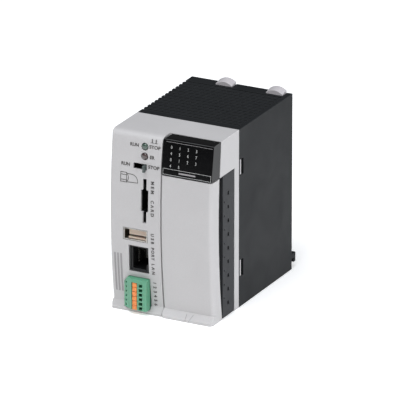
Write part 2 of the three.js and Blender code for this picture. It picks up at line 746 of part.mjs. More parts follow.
function ioBoard() {
  const holes = IO_SCREWS.map((height) => bar('y', [IO_SCREW_X, height], 1.4, [-17, -13]));
  return cut(block([2, 25.8], [-15.8, -14.2], [6, 78]), holes);
}

function batteryHolder() {
  return cut(
    block([-23.6, -16], [2, 31], [72.4, 87.6]),
    bar('y', BATTERY, 7.3, [3.5, 29.5], 24),
  );
}

function battery() {
  return join(
    bar('y', BATTERY, 7, [4.6, 29.2], 24),
    bar('y', BATTERY, 2.4, [3.8, 5], 16),
  );
}

function heatSink() {
  const fins = [0, 1, 2, 3, 4].map((fin) => block([3, 10], [10 + fin * 4.4, 11.4 + fin * 4.4], [58, 80]));
  return join(block([9.5, 11.7], [10, 29], [58, 80]), fins);
}

function transformer() {
  return join(
    block([13.9, 26], [4, 24], [50, 70]),
    block([13.9, 20], [2.5, 25.5], [53, 67]),
  );
}

function backplaneConnector() {
  return cut(
    block([-22, -8], [36, 45.7], [36, 64]),
    block([-18, -12], [40, 47], [38.5, 61.5]),
  );
}

// ---- Assembly ----------------------------------------------------------------------------------

const controller = new THREE.Group();

function place(name, solid, material, position = [0, 0, 0], parent = controller) {
  const mesh = new THREE.Mesh(toGeometry(solid), material);
  mesh.name = name;
  mesh.position.set(...position);
  parent.add(mesh);
  return mesh;
}

place('rear_housing', rearHousing(), FINISH.housing);
place('front_bezel', frontBezel(), FINISH.bezel);
place('indicator_cover', indicatorCover(), FINISH.smoked);
place('indicator_guide', indicatorGuide(), FINISH.clear);
place('run_lens', lens(), FINISH.greenLens, [RUN_LIGHT.x, -41.6, RUN_LIGHT.z]);
place('fault_lens', lens(), FINISH.redLens, [FAULT_LIGHT.x, -42.1, FAULT_LIGHT.z]);
place('mode_switch_body', modeSwitchBody(), FINISH.black);
place('mode_knob', modeKnob(), FINISH.knob);
place('card_socket', cardSocket(), FINISH.black);
place('usb_shell', usbShell(), FINISH.steel);
place('usb_tongue', usbTongue(), FINISH.cream);
place('network_jack', networkJack(), FINISH.black);
place('network_contacts', networkContacts(), FINISH.brass);
place('plug_header', plugHeader(), FINISH.green);
place('header_pins', headerPins(), FINISH.brass);

place('terminal_block', terminalBlock(), FINISH.terminal);
place('terminal_socket', terminalSocket(), FINISH.black);
Object.entries(BLOCK_SCREW_Z).forEach(([end, height]) => {
  const head = [BLOCK_SCREW_X, TERMINAL.front + 0.7, height];
  place(`block_screw_${end}`, screw(2.4, 3, 1.2, 16.5), FINISH.steel, head);
});
place('terminal_door', terminalDoor(), FINISH.bezel);
place('hinge_pin', bar('z', [PIVOT.x, PIVOT.y], 0.4, [37.6, 71.6], 12), FINISH.steel);

const plug = new THREE.Group();
controller.add(plug);
place('field_plug', fieldPlug(), FINISH.green, [0, 0, 0], plug);
poles().reverse().forEach((height, index) => {
  const middle = [(RELEASE.left + RELEASE.right) / 2, RELEASE.front, height];
  place(`release_button_${index + 1}`, releaseButton(), FINISH.orange, middle, plug);
});

['left', 'right'].forEach((side, index) => {
  place(`lock_button_${side}`, lockButton(), FINISH.latch, [LATCH_X[index], 0, 0]);
  place(`latch_spring_${side}`, latchSpring(), FINISH.steel, [LATCH_X[index], 41, SPRING.base]);
});

place('main_board', mainBoard(), FINISH.board);
place('io_board', ioBoard(), FINISH.board);
place('power_board', block(
  [POWER_BOARD.left, POWER_BOARD.right],
  [POWER_BOARD.front, POWER_BOARD.back],
  [POWER_BOARD.base, POWER_BOARD.top],
), FINISH.board);
place('indicator_board', block([1, 27.4], [-33.1, -31.5], [84, 96.5]), FINISH.board);
place('processor', block([-23.6, -21.6], [0, 22], [30, 52]), FINISH.black);
place('memory_chip', block([-23.6, -22.2], [4, 16], [58, 66]), FINISH.black);
place('battery_holder', batteryHolder(), FINISH.black);
place('battery', battery(), FINISH.sleeve);
place('heat_sink', heatSink(), FINISH.aluminium);
place('power_transformer', transformer(), FINISH.black);
place('capacitor_upper', bar('x', [30, 80], 5, [13.9, 26], 20), FINISH.sleeve);
place('capacitor_lower', bar('x', [30, 22], 5, [13.9, 26], 20), FINISH.sleeve);
place('backplane_connector', backplaneConnector(), FINISH.black);

BOARD_SCREWS.forEach(([depth, height], index) => {
  const head = [-22.4, depth, height];
  const mesh = place(`board_screw_${index + 1}`, screw(2.2, 1.2, 1, 3.6), FINISH.steel, head);
  mesh.rotation.z = Math.PI / 2;
});
IO_SCREWS.forEach((height, index) => {
  const head = [IO_SCREW_X, -12.7, height];
  const mesh = place(`io_screw_${index + 1}`, screw(2.2, 1.2, 1, 4.6), FINISH.steel, head);
  mesh.rotation.z = Math.PI;
});

export default controller;
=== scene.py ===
"""Looks of a double-width controller module: materials, printed marks and fine pieces round its frame."""

from __future__ import annotations

import logging
import math
from dataclasses import dataclass, field
from enum import Enum
from functools import partial
from typing import Any, Iterable, Optional, Sequence

import bmesh
import bpy
from mathutils import Matrix, Vector


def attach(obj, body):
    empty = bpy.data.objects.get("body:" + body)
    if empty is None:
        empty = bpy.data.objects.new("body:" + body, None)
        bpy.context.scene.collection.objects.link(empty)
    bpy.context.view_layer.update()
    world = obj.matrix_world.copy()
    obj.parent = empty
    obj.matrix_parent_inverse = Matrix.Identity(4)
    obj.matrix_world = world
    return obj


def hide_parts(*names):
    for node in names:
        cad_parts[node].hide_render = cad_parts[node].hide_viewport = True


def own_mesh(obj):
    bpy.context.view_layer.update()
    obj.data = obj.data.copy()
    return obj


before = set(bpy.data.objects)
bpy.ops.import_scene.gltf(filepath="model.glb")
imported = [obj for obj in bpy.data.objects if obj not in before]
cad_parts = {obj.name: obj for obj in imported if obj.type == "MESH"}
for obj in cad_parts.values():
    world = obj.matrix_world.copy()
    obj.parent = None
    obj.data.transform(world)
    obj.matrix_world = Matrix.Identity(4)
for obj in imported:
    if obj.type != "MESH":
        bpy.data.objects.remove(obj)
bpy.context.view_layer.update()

MM = 0.001
LOG = logging.getLogger("controller_module")

Point = tuple[float, float]
Place = tuple[float, float, float]
Values = dict[str, Any]
Nodes = bpy.types.NodeTree


class Body(str, Enum):
    """Bodies of the frame that the pieces ride on."""

    MODULE = "module"
    DOOR = "door"
    PLUG = "plug"


class Slot(str, Enum):
    """Material slots of the record."""

    BEZEL = "bezel_abs"
    WINDOW = "smoked_window"
    STEEL = "steel"
    BRASS = "brass"


# ---- The bowed front, in millimetres -------------------------------------------------------------

BOW_MIDDLE = 55.0
BOW_FLATNESS = 740.0
PANEL_PEAK = -48.4
DOOR_PEAK = -48.8
DOOR_LIP = -48.3
LIP_TOP = 1.5
FLARE_TOP = 4.6
WINDOW_BASE: Point = (-48.2, 80.5)
WINDOW_HEAD: Point = (-45.4, 98.5)


class Surface(Enum):
    """Front faces that marks are printed on."""

    PANEL = "panel"
    WINDOW = "window"
    DOOR = "door"

    def depth(self, height: float) -> float:
        """Finds the face at a height.

        Args:
            height: Height above the base, in millimetres.

        Returns:
            The face's Y there, in millimetres.
        """
        if self is Surface.WINDOW:
            lean = (WINDOW_HEAD[0] - WINDOW_BASE[0]) / (WINDOW_HEAD[1] - WINDOW_BASE[1])
            return WINDOW_BASE[0] + (height - WINDOW_BASE[1]) * lean
        peak = PANEL_PEAK if self is Surface.PANEL else DOOR_PEAK
        return peak + (height - BOW_MIDDLE) ** 2 / BOW_FLATNESS


# ---- Colour and nodes ----------------------------------------------------------------------------


def linear(colour: str) -> tuple[float, float, float, float]:
    """Turns an sRGB hex colour to linear light.

    Args:
        colour: Colour such as "#c4c2c4".

    Returns:
        Red, green, blue and an alpha of 1.
    """
    parts = [int(colour[start : start + 2], 16) / 255 for start in (1, 3, 5)]
    red, green, blue = (p / 12.92 if p <= 0.04045 else ((p + 0.055) / 1.055) ** 2.4 for p in parts)
    return red, green, blue, 1.0


def find_socket(sockets: Any, key: str) -> Any:
    """Finds a socket by its identifier, or else by its name.

    Args:
        sockets: A node's inputs or outputs.
        key: The socket's identifier or name.

    Returns:
        The socket.
    """
    for socket in sockets:
        if socket.identifier == key:
            return socket
    return sockets[key]


def add_node(tree: Nodes, kind: str, sockets: Optional[Values] = None, **settings: Any) -> Any:
    """Adds a node with its settings and links.

    Args:
        tree: The node tree it goes into.
        kind: Blender's name of the shader node type, without its "ShaderNode".
        sockets: For each input socket, a constant value or the output socket that feeds it.
        **settings: Values for the node's own properties.

    Returns:
        The new node.
    """
    node = tree.nodes.new(f"ShaderNode{kind}")
    for name, value in settings.items():
        setattr(node, name, value)
    for name, value in (sockets or {}).items():
        socket = find_socket(node.inputs, name)
        if isinstance(value, bpy.types.NodeSocket):
            tree.links.new(value, socket)
        else:
            socket.default_value = value
    return node


def per_metre(width_mm: float) -> float:
    """Turns the width of one pattern cell to a texture scale in object space."""
    return 1.0 / (width_mm * MM)


# ---- Finishes ------------------------------------------------------------------------------------

# A noise texture keeps mostly to this part of its range.
MIDDLE_NOISE = {"From Min": 0.3, "From Max": 0.7}


@dataclass(frozen=True)
class Finish:
    """One finish: a named material made once and shared.

    Attributes:
        name: Material name, the real material and how its surface was made.
        colour: Main sRGB colour.
        roughness: Mean roughness.
        ior: Index of refraction.
    """

    name: str
    colour: str
    roughness: float
    ior: float = 1.5

    def material(self) -> bpy.types.Material:
        """Gives this finish's material, made on first use.

        Returns:
            The shared material.
        """
        made = bpy.data.materials.get(self.name)
        if made is None:
            made = bpy.data.materials.new(self.name)
            made.use_nodes = True
            made.node_tree.nodes.clear()
            self.paint(made.node_tree)
        return made

    def paint(self, tree: Nodes) -> None:
        """Fills the material's node tree.

        Args:
            tree: The tree to fill.
        """
        raise NotImplementedError

    def surface(self, tree: Nodes, sockets: Values) -> None:
        """Adds the shader and the material output.

        Args:
            tree: The material's node tree.
            sockets: What goes into the shader, over this finish's own values.
        """
        own = {"Roughness": self.roughness, "IOR": self.ior, "Base Color": linear(self.colour)}
        shader = add_node(tree, "BsdfPrincipled", {**own, **sockets})
        add_node(tree, "OutputMaterial", {"Surface": shader.outputs["BSDF"]})


@dataclass(frozen=True)
class MouldedPlastic(Finish):
    """Injection-moulded plastic from a spark-eroded tool.

    The eye gets a fine even grain that breaks up reflections, faint flow clouds in the colour, and
    corners rubbed smoother and a little paler by handling.

    Attributes:
        grain_mm: Width of one grain. A real grain is about 0.1 mm; it is drawn coarser so that it shows.
        grain_depth_mm: Height of the grain.
        cloud: Share by which the colour drifts over the piece.
        worn: sRGB colour of rubbed corners.
        wear: How far a corner takes on that colour.
        specular: Specular level of the shader.
        glow_mm: Depth that light soaks into the plastic, 0 for none.
        cloud_mm: Width of a flow cloud.
        speck: Share by which the colour varies from grain to grain.
        drift: How far the roughness strays from its mean.
        corner_mm: How near to a corner the rubbing reaches.
        patch_mm: Width of a rubbed patch.
    """

    grain_mm: float = 0.45
    grain_depth_mm: float = 0.012
    cloud: float = 0.05
    worn: str = "#ffffff"
    wear: float = 0.25
    specular: float = 0.5
    glow_mm: float = 0.0
    cloud_mm: float = 22.0
    speck: float = 0.035
    drift: float = 0.05
    corner_mm: float = 0.5
    patch_mm: float = 6.0

    def paint(self, tree: Nodes) -> None:
        """Fills the material's node tree.

        Args:
            tree: The tree to fill.
        """
        add = partial(add_node, tree)
        place = add("TexCoord").outputs["Object"]
        grain = add(
            "TexNoise",
            {"Scale": per_metre(self.grain_mm), "Detail": 3.0, "Roughness": 0.6, "Vector": place},
        )
        clouds = add(
            "TexNoise",
            {"Scale": per_metre(self.cloud_mm), "Detail": 4.0, "Distortion": 0.6, "Vector": place},
        )
        drift = add(
            "MapRange",
            {
                **MIDDLE_NOISE,
                "To Min": 1 - self.cloud,
                "To Max": 1 + self.cloud,
                "Value": clouds.outputs["Fac"],
            },
        )
        speck = add(
            "MapRange",
            {
                **MIDDLE_NOISE,
                "To Min": 1 - self.speck,
                "To Max": 1 + self.speck,
                "Value": grain.outputs["Fac"],
            },
        )
        both = add(
            "Math",
            {"Value": drift.outputs["Result"], "Value_001": speck.outputs["Result"]},
            operation="MULTIPLY",
        )
        tinted = add(
            "VectorMath",
            {"Vector": linear(self.colour)[:3], "Scale": both.outputs["Value"]},
            operation="SCALE",
        )
        edge = self.edge_mask(tree, place)
        colour = add(
            "Mix",
            {"B_Color": linear(self.worn), "Factor_Float": edge, "A_Color": tinted.outputs["Vector"]},
            data_type="RGBA",
        )
        polish = add(
            "MapRange",
            {
                **MIDDLE_NOISE,
                "To Min": self.roughness - self.drift,
                "To Max": self.roughness + self.drift,
                "Value": clouds.outputs["Fac"],
            },
        )
        bump = add(
            "Bump", {"Strength": 0.6, "Distance": self.grain_depth_mm * MM, "Height": grain.outputs["Fac"]}
        )
        self.surface(
            tree,
            {
                "Specular IOR Level": self.specular,
                "Subsurface Weight": 0.12 if self.glow_mm else 0.0,
                "Subsurface Scale": self.glow_mm * MM,
                "Base Color": find_socket(colour.outputs, "Result_Color"),
                "Roughness": polish.outputs["Result"],
                "Normal": bump.outputs["Normal"],
            },
        )

    def edge_mask(self, tree: Nodes, place: Any) -> Any:
        """Marks rubbed corners, where a rounded normal leaves the true one.

        Args:
            tree: The material's node tree.
            place: Object coordinates.

        Returns:
            A socket that is 0 on flats and up to this finish's wear on corners.
        """
        add = partial(add_node, tree)
        rounded = add("Bevel", {"Radius": self.corner_mm * MM}, samples=4)
        true = add("NewGeometry")
        match = add(
            "VectorMath",
            {"Vector": rounded.outputs["Normal"], "Vector_001": true.outputs["Normal"]},
            operation="DOT_PRODUCT",
        )
        patchy = add(
            "TexNoise",
            {"Scale": per_metre(self.patch_mm), "Detail": 5.0, "Roughness": 0.7, "Vector": place},
        )
        corner = add(
            "MapRange",
            {
                "From Min": 0.999,
                "From Max": 0.9,
                "To Min": 0.0,
                "To Max": self.wear,
                "Value": match.outputs["Value"],
            },
        )
        worn = add(
            "Math",
            {"Value": corner.outputs["Result"], "Value_001": patchy.outputs["Fac"]},
            operation="MULTIPLY",
            use_clamp=True,
        )
        return worn.outputs["Value"]


@dataclass(frozen=True)
class PolishedPlastic(Finish):
    """Plastic from a mirror-polished tool, such as a smoked polycarbonate window or a lens.

    The eye gets a clear sharp gloss over a deep colour, with hairline wiping marks and fine dust.

    Attributes:
        coat: Weight of the clear top gloss.
        depth_mm: Depth that light soaks in, 0 for none.
        specular: Specular level of the shader.
        dust: sRGB colour of the dust.
        dusty: How far a speck takes on that colour.
        dust_mm: Spacing of the specks.
        wipe_mm: Width of a wiping mark.
        haze: How much roughness a wiping mark adds.
    """

    coat: float = 0.3
    depth_mm: float = 0.0
    specular: float = 0.5
    dust: str = "#8d8b88"
    dusty: float = 0.05
    dust_mm: float = 1.6
    wipe_mm: float = 9.0
    haze: float = 0.05

    def paint(self, tree: Nodes) -> None:
        """Fills the material's node tree.

        Args:
            tree: The tree to fill.
        """
        add = partial(add_node, tree)
        place = add("TexCoord").outputs["Object"]
        specks = add("TexVoronoi", {"Scale": per_metre(self.dust_mm), "Vector": place})
        fallen = add(
            "MapRange",
            {
                "From Min": 0.16,
                "From Max": 0.06,
                "To Min": 0.0,
                "To Max": self.dusty,
                "Value": specks.outputs["Distance"],
            },
        )
        stretched = add("Mapping", {"Scale": (1.0, 1.0, 14.0), "Vector": place})
        wipes = add(
            "TexNoise",
            {
                "Scale": per_metre(self.wipe_mm),
                "Detail": 6.0,
                "Roughness": 0.7,
                "Vector": stretched.outputs["Vector"],
            },
        )
        colour = add(
            "Mix",
            {
                "A_Color": linear(self.colour),
                "B_Color": linear(self.dust),
                "Factor_Float": fallen.outputs["Result"],
            },
            data_type="RGBA",
        )
        haze = add(
            "MapRange",
            {
                "From Min": 0.35,
                "From Max": 0.75,
                "To Min": self.roughness,
                "To Max": self.roughness + self.haze,
                "Value": wipes.outputs["Fac"],
            },
        )
        bump = add("Bump", {"Strength": 0.15, "Distance": 0.01 * MM, "Height": wipes.outputs["Fac"]})
        self.surface(
            tree,
            {
                "Coat Weight": self.coat,
                "Coat Roughness": 0.04,
                "Specular IOR Level": self.specular,
                "Subsurface Weight": 0.3 if self.depth_mm else 0.0,
                "Subsurface Scale": self.depth_mm * MM,
                "Base Color": find_socket(colour.outputs, "Result_Color"),
                "Roughness": haze.outputs["Result"],
                "Normal": bump.outputs["Normal"],
            },
        )


@dataclass(frozen=True)
class PlatedMetal(Finish):
    """Drawn or stamped metal with a thin plating.

    The eye gets fine lines along the working direction, a slight cloudiness in the plating and a
    duller tone where fingers or tools have been.

    Attributes:
        line_mm: Spacing of the drawing lines. A real line is finer; it is drawn coarser so that it shows.
        dull: sRGB colour of dulled patches.
        along: Stretch of the lines in X, Y and Z; a low number runs long.
        patch_mm: Width of a dulled patch.
    """

    line_mm: float = 0.25
    dull: str = "#8f8c86"
    along: Place = (1.0, 0.08, 1.0)
    patch_mm: float = 3.0

    def paint(self, tree: Nodes) -> None:
        """Fills the material's node tree.

        Args:
            tree: The tree to fill.
        """
        add = partial(add_node, tree)
        place = add("TexCoord").outputs["Object"]
        stretched = add("Mapping", {"Scale": self.along, "Vector": place})
        lines = add(
            "TexNoise",
            {"Scale": per_metre(self.line_mm), "Detail": 2.0, "Vector": stretched.outputs["Vector"]},
        )
        patches = add(
            "TexNoise",
            {"Scale": per_metre(self.patch_mm), "Detail": 5.0, "Roughness": 0.65, "Vector": place},
        )
        dulled = add(
            "MapRange",
            {
                "From Min": 0.45,
                "From Max": 0.75,
                "To Min": 0.0,
                "To Max": 0.6,
                "Value": patches.outputs["Fac"],
            },
        )
        colour = add(
            "Mix",
            {
                "A_Color": linear(self.colour),
                "B_Color": linear(self.dull),
                "Factor_Float": dulled.outputs["Result"],
            },
            data_type="RGBA",
        )
        rough = add(
            "MapRange",
            {
                **MIDDLE_NOISE,
                "To Min": self.roughness - 0.06,
                "To Max": self.roughness + 0.1,
                "Value": lines.outputs["Fac"],
            },
        )
        bump = add("Bump", {"Strength": 0.4, "Distance": 0.008 * MM, "Height": lines.outputs["Fac"]})
        self.surface(
            tree,
            {
                "Metallic": 1.0,
                "Base Color": find_socket(colour.outputs, "Result_Color"),
                "Roughness": rough.outputs["Result"],
                "Normal": bump.outputs["Normal"],
            },
        )


@dataclass(frozen=True)
class SolderMask(Finish):
    """Glass laminate under a green solder mask, with copper tracks.

    The eye gets a satin green skin, slightly raised straight tracks in a paler green, and rows of
    tinned pads.

    Attributes:
        track_mm: Width of one row of tracks.
        track: sRGB colour of the mask over copper.
        pad: sRGB colour of a tinned pad.
        pad_mm: Spacing of the pads.
    """

    track_mm: float = 1.3
    track: str = "#2f7a4e"
    pad: str = "#c3c6c6"
    pad_mm: float = 2.54

    def paint(self, tree: Nodes) -> None:
        """Fills the material's node tree.

        Args:
            tree: The tree to fill.
        """
        add = partial(add_node, tree)
        place = add("TexCoord").outputs["Object"]
        tracks = add(
            "TexBrick",
            {
                "Scale": per_metre(self.track_mm * 4),
                "Color1": (1, 1, 1, 1),
                "Color2": (0.7, 0.7, 0.7, 1),
                "Mortar": (0, 0, 0, 1),
                "Mortar Size": 0.03,
                "Brick Width": 2.2,
                "Vector": place,
            },
            offset=0.37,
        )
        pads = add("TexVoronoi", {"Scale": per_metre(self.pad_mm), "Randomness": 0.55, "Vector": place})
        tinned = add("Math", {"Value_001": 0.2, "Value": pads.outputs["Distance"]}, operation="LESS_THAN")
        mask = add(
            "Mix",
            {
                "A_Color": linear(self.colour),
                "B_Color": linear(self.track),
                "Factor_Float": tracks.outputs["Color"],
            },
            data_type="RGBA",
        )
        colour = add(
            "Mix",
            {
                "B_Color": linear(self.pad),
                "Factor_Float": tinned.outputs["Value"],
                "A_Color": find_socket(mask.outputs, "Result_Color"),
            },
            data_type="RGBA",
        )
        bump = add("Bump", {"Strength": 0.5, "Distance": 0.03 * MM, "Height": tracks.outputs["Color"]})
        self.surface(
            tree,
            {
                "Coat Weight": 0.2,
                "Base Color": find_socket(colour.outputs, "Result_Color"),
                "Normal": bump.outputs["Normal"],
            },
        )


@dataclass(frozen=True)
class PrintedInk(Finish):
    """Pad-printed ink.

    The eye gets a thin matt film whose cover is a little uneven, with pinholes.

    Attributes:
        thin: sRGB colour where the film is thin.
        cover_mm: Width of a thin patch.
    """

    thin: str = "#8b8987"
    cover_mm: float = 0.5

    def paint(self, tree: Nodes) -> None:
        """Fills the material's node tree.

        Args:
            tree: The tree to fill.
        """
        add = partial(add_node, tree)
        place = add("TexCoord").outputs["Object"]
        cover = add("TexNoise", {"Scale": per_metre(self.cover_mm), "Detail": 3.0, "Vector": place})
        uneven = add(
            "MapRange",
            {"From Min": 0.4, "From Max": 0.8, "To Min": 0.0, "To Max": 0.5, "Value": cover.outputs["Fac"]},
        )
        colour = add(
            "Mix",
            {
                "A_Color": linear(self.colour),
                "B_Color": linear(self.thin),
                "Factor_Float": uneven.outputs["Result"],
            },
            data_type="RGBA",
        )
        self.surface(tree, {"Base Color": find_socket(colour.outputs, "Result_Color")})


@dataclass(frozen=True)
class LitSheet(Finish):
    """White acrylic sheet over a light table, its surface matted by sanding.

    The eye gets an even pale ground with a barely visible stipple, and faint soft shadows because
    some light comes up through the sheet.

    Attributes:
        lit: Light that comes up through the sheet.
        stipple_mm: Width of a mark left by the sanding, drawn coarser than a real one so that it shows.
    """

    lit: float = 0.4
    stipple_mm: float = 2.0

    def paint(self, tree: Nodes) -> None:
        """Fills the material's node tree.

        Args:
            tree: The tree to fill.
        """
        add = partial(add_node, tree)
        place = add("TexCoord").outputs["Object"]
        stipple = add("TexNoise", {"Scale": per_metre(self.stipple_mm), "Detail": 2.0, "Vector": place})
        bump = add("Bump", {"Strength": 0.1, "Distance": 0.05 * MM, "Height": stipple.outputs["Fac"]})
        glow = {"Emission Color": linear(self.colour), "Emission Strength": self.lit}
        normal = {"Normal": bump.outputs["Normal"]}
        self.surface(tree, {"Specular IOR Level": 0.1, **glow, **normal})


# Dark ABS, spark-eroded: satin black-grey, its corners rubbed paler.
HOUSING = MouldedPlastic(
    "dark_abs_spark_eroded", "#16181a", 0.62, 1.53, worn="#7c7e81", wear=0.15, specular=0.22
)
# Light ABS, spark-eroded: the same grain, finer to the eye because the colour is pale.
BEZEL = MouldedPlastic(
    "light_abs_spark_eroded", "#b5b3b3", 0.48, 1.53, cloud=0.025, worn="#f2f2f0", wear=0.35, specular=0.4
)
# Light ABS from a smoother tool: a touch warmer and glossier than the bezel.
LATCH = MouldedPlastic(
    "warm_grey_abs_moulded", "#b7b3b5", 0.42, 1.53, cloud=0.03, worn="#f0eeee", specular=0.45
)
# Glass-filled PBT: matt, with a coarser grain than ABS where fibres lie near the skin.
TERMINAL_PBT = MouldedPlastic(
    "dark_pbt_glass_filled", "#303133", 0.62, 1.55, grain_mm=0.7, worn="#7c7e80", specular=0.22
)
# Polyamide takes light in a little way, so it looks waxy.
GREEN_PA = MouldedPlastic(
    "green_polyamide_moulded", "#549575", 0.42, 1.53, cloud=0.04, worn="#bfe2d0", glow_mm=0.5
)
ORANGE_PA = MouldedPlastic(
    "orange_polyamide_moulded", "#e0843f", 0.4, 1.53, cloud=0.04, worn="#f6c79a", glow_mm=0.5
)
# Liquid crystal polymer: a dry, slightly pearly skin, black in sockets and cream under contacts.
BLACK_LCP = MouldedPlastic(
    "black_polymer_moulded", "#0e0f10", 0.5, 1.6, grain_mm=0.3, worn="#4b4d50", specular=0.35
)
CREAM_LCP = MouldedPlastic(
    "cream_polymer_moulded", "#bba896", 0.45, 1.6, grain_mm=0.3, worn="#fbf3e8", glow_mm=0.4
)
# Acetal: slippery and smooth, so a rubbed knob shines at its edges.
GREY_KNOB = MouldedPlastic("grey_acetal_moulded", "#3d4644", 0.4, 1.48, grain_mm=0.3, worn="#a7adab")
# Smoked polycarbonate: near black, with a sharp shallow gloss.
SMOKED = PolishedPlastic("smoked_polycarbonate_polished", "#060607", 0.09, 1.585, coat=0.0, specular=0.16)
# Clear polycarbonate: milky where it is thick.
CLEAR = PolishedPlastic("clear_polycarbonate_polished", "#ccd4d3", 0.1, 1.585, depth_mm=2.0)
# Tinted acrylic of an unlit lamp: dark, with one bright glint.
GREEN_LENS = PolishedPlastic("green_tinted_lens", "#33493f", 0.12, 1.49, coat=1.0)
RED_LENS = PolishedPlastic("red_tinted_lens", "#3d2e2d", 0.12, 1.49, coat=1.0)
# Shrunk vinyl: a soft sheen.
SLEEVE = PolishedPlastic("blue_vinyl_sleeve", "#275f8c", 0.3, 1.54)
# Nickel plate over stamped steel: warm grey and bright, with fine lines.
NICKEL = PlatedMetal("nickel_plated_steel_stamped", "#c4c2bd", 0.3)
# Gold flash over brass: yellow, browner where it has worn.
GOLD_FLASH = PlatedMetal("gold_flashed_brass_stamped", "#d8b56a", 0.25, dull="#9c7b3f")
# Tin over bronze: grey and clouded.
TINNED = PlatedMetal("tinned_bronze_stamped", "#86857f", 0.42, dull="#565550")
# Extruded aluminium: pale, its die lines running up the piece.
DRAWN_ALUMINIUM = PlatedMetal(
    "aluminium_extruded", "#b4b7b9", 0.38, dull="#8f9294", along=(1.0, 1.0, 0.05)
)
# Solder mask over glass laminate: a satin green skin.
MASKED_BOARD = SolderMask("glass_laminate_solder_masked", "#1c5234", 0.35)
# Pad-printed inks: matt, uneven films.
DARK_INK = PrintedInk("grey_ink_pad_printed", "#454341", 0.6, thin="#6d6b69")
# The pale ink prints the plain bars. It also draws painted light: a painted highlight on the window's top
# edge and painted shade on the door's lip.
PALE_INK_AND_PAINTED_LIGHT = PrintedInk("pale_grey_ink_and_painted_light", "#8c898a", 0.6, thin="#a09d9d")
WHITE_INK = PrintedInk("white_ink_pad_printed", "#bcbcba", 0.55, thin="#939391")
# Sanded acrylic: an even white ground.
LIGHT_TABLE = LitSheet("white_acrylic_sanded", "#f6f6f6", 0.8)


# ---- Mesh work -----------------------------------------------------------------------------------

WELD_MM = 0.002
SAME_SPOT_MM = 0.001
FLAT_DEGREES = 0.3
CORNER_DEGREES = 30

# Corner loops of a box whose corners are numbered X first, then Y, then Z.
BOX_FACES = ((0, 2, 3, 1), (4, 5, 7, 6), (0, 1, 5, 4), (1, 3, 7, 5), (3, 2, 6, 7), (2, 0, 4, 6))


def link(obj: bpy.types.Object) -> bpy.types.Object:
    """Puts an object in the scene."""
    bpy.context.scene.collection.objects.link(obj)
    return obj


def piece(name: str, bm: bmesh.types.BMesh, finish: Finish, body: Body) -> bpy.types.Object:
    """Makes one piece of the object from finished mesh work in metres.

    Args:
        name: Name of the piece.
        bm: Its mesh, which is freed.
        finish: Its finish.
        body: The frame body it rides on.

    Returns:
        The new object.
    """
    bmesh.ops.recalc_face_normals(bm, faces=bm.faces)
    mesh = bpy.data.meshes.new(name)
    bm.to_mesh(mesh)
    bm.free()
    mesh.materials.append(finish.material())
    obj = link(bpy.data.objects.new(name, mesh))
    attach(obj, body.value)
    LOG.info("%s: %d faces on %s", name, len(mesh.polygons), body.value)
    return obj


def soften(obj: bpy.types.Object, width_mm: float, segments: int, flatten: bool) -> None:
    """Rounds an object's corners with modifiers, and shades it smooth between them.

    Args:
        obj: The object.
        width_mm: Width of the rounding.
        segments: Facets across it.
        flatten: Whether to merge flat facets first, which suits faces without many holes.
    """
    for polygon in obj.data.polygons:
        polygon.use_smooth = True
    weld = obj.modifiers.new("weld", "WELD")
    weld.merge_threshold = WELD_MM * MM
    if flatten:
        flat = obj.modifiers.new("flat", "DECIMATE")
        flat.decimate_type = "DISSOLVE"
        flat.angle_limit = math.radians(FLAT_DEGREES)
    bevel = obj.modifiers.new("bevel", "BEVEL")
    bevel.width = width_mm * MM
    bevel.segments = segments
    bevel.limit_method = "ANGLE"
    bevel.angle_limit = math.radians(CORNER_DEGREES)
    bevel.miter_outer = "MITER_ARC"
    bevel.harden_normals = True
    obj.modifiers.new("normals", "WEIGHTED_NORMAL")


def dress(node: str, finish: Finish, width_mm: float, segments: int, flatten: bool = True) -> None:
    """Gives a node of the frame its finish and rounded corners.

    Args:
        node: Name of the frame's node.
        finish: Its finish.
        width_mm: Width of its corner rounding.
        segments: Facets across the rounding.
        flatten: Whether to merge flat facets first.
    """
    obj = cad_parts[node]
    obj.data.materials.clear()
    obj.data.materials.append(finish.material())
    soften(obj, width_mm, segments, flatten)
    LOG.info("%s: %s", node, finish.name)


def add_box(bm: bmesh.types.BMesh, low: Place, high: Place) -> None:
    """Adds a box to mesh work.

    Args:
        bm: The mesh work, in metres.
        low: Lowest corner, in millimetres.
        high: Highest corner, in millimetres.
    """
    corners = [(x, y, z) for z in (low[2], high[2]) for y in (low[1], high[1]) for x in (low[0], high[0])]
    verts = [bm.verts.new(Vector(corner) * MM) for corner in corners]
    for loop in BOX_FACES:
        bm.faces.new([verts[index] for index in loop])


def add_turned(bm: bmesh.types.BMesh, profile: Iterable[Point], sides: int, place: Matrix) -> None:
    """Adds a turned solid to mesh work.

    Args:
        bm: The mesh work, in metres.
        profile: Radius and height pairs in millimetres, from axis to axis.
        sides: Number of facets round it.
        place: Where its origin and axis go, in millimetres.
    """
    rings = []
    for radius, height in profile:
        if radius < 1e-6:
            rings.append([bm.verts.new(place @ Vector((0, 0, height)) * MM)])
            continue
        turn = [2 * math.pi * side / sides for side in range(sides)]
        spots = [Vector((radius * math.cos(a), radius * math.sin(a), height)) for a in turn]
        rings.append([bm.verts.new(place @ spot * MM) for spot in spots])
    for lower, upper in zip(rings, rings[1:]):
        for side in range(sides):
            after = (side + 1) % sides
            loop = [lower[side % len(lower)], lower[after % len(lower)]]
            loop += [upper[after % len(upper)], upper[side % len(upper)]]
            bm.faces.new(list(dict.fromkeys(loop)))


def add_tube(bm: bmesh.types.BMesh, rings: Sequence[Sequence[Any]]) -> None:
    """Joins rings of vertices to a closed tube with flat ends.

    Args:
        bm: The mesh work.
        rings: The rings, each with as many vertices as the next.
    """
    for one, two in zip(rings, rings[1:]):
        for index in range(len(one)):
            after = (index + 1) % len(one)
            bm.faces.new([one[index], one[after], two[after], two[index]])
    bm.faces.new(rings[0])
    bm.faces.new(rings[-1])


# ---- Printed marks -------------------------------------------------------------------------------


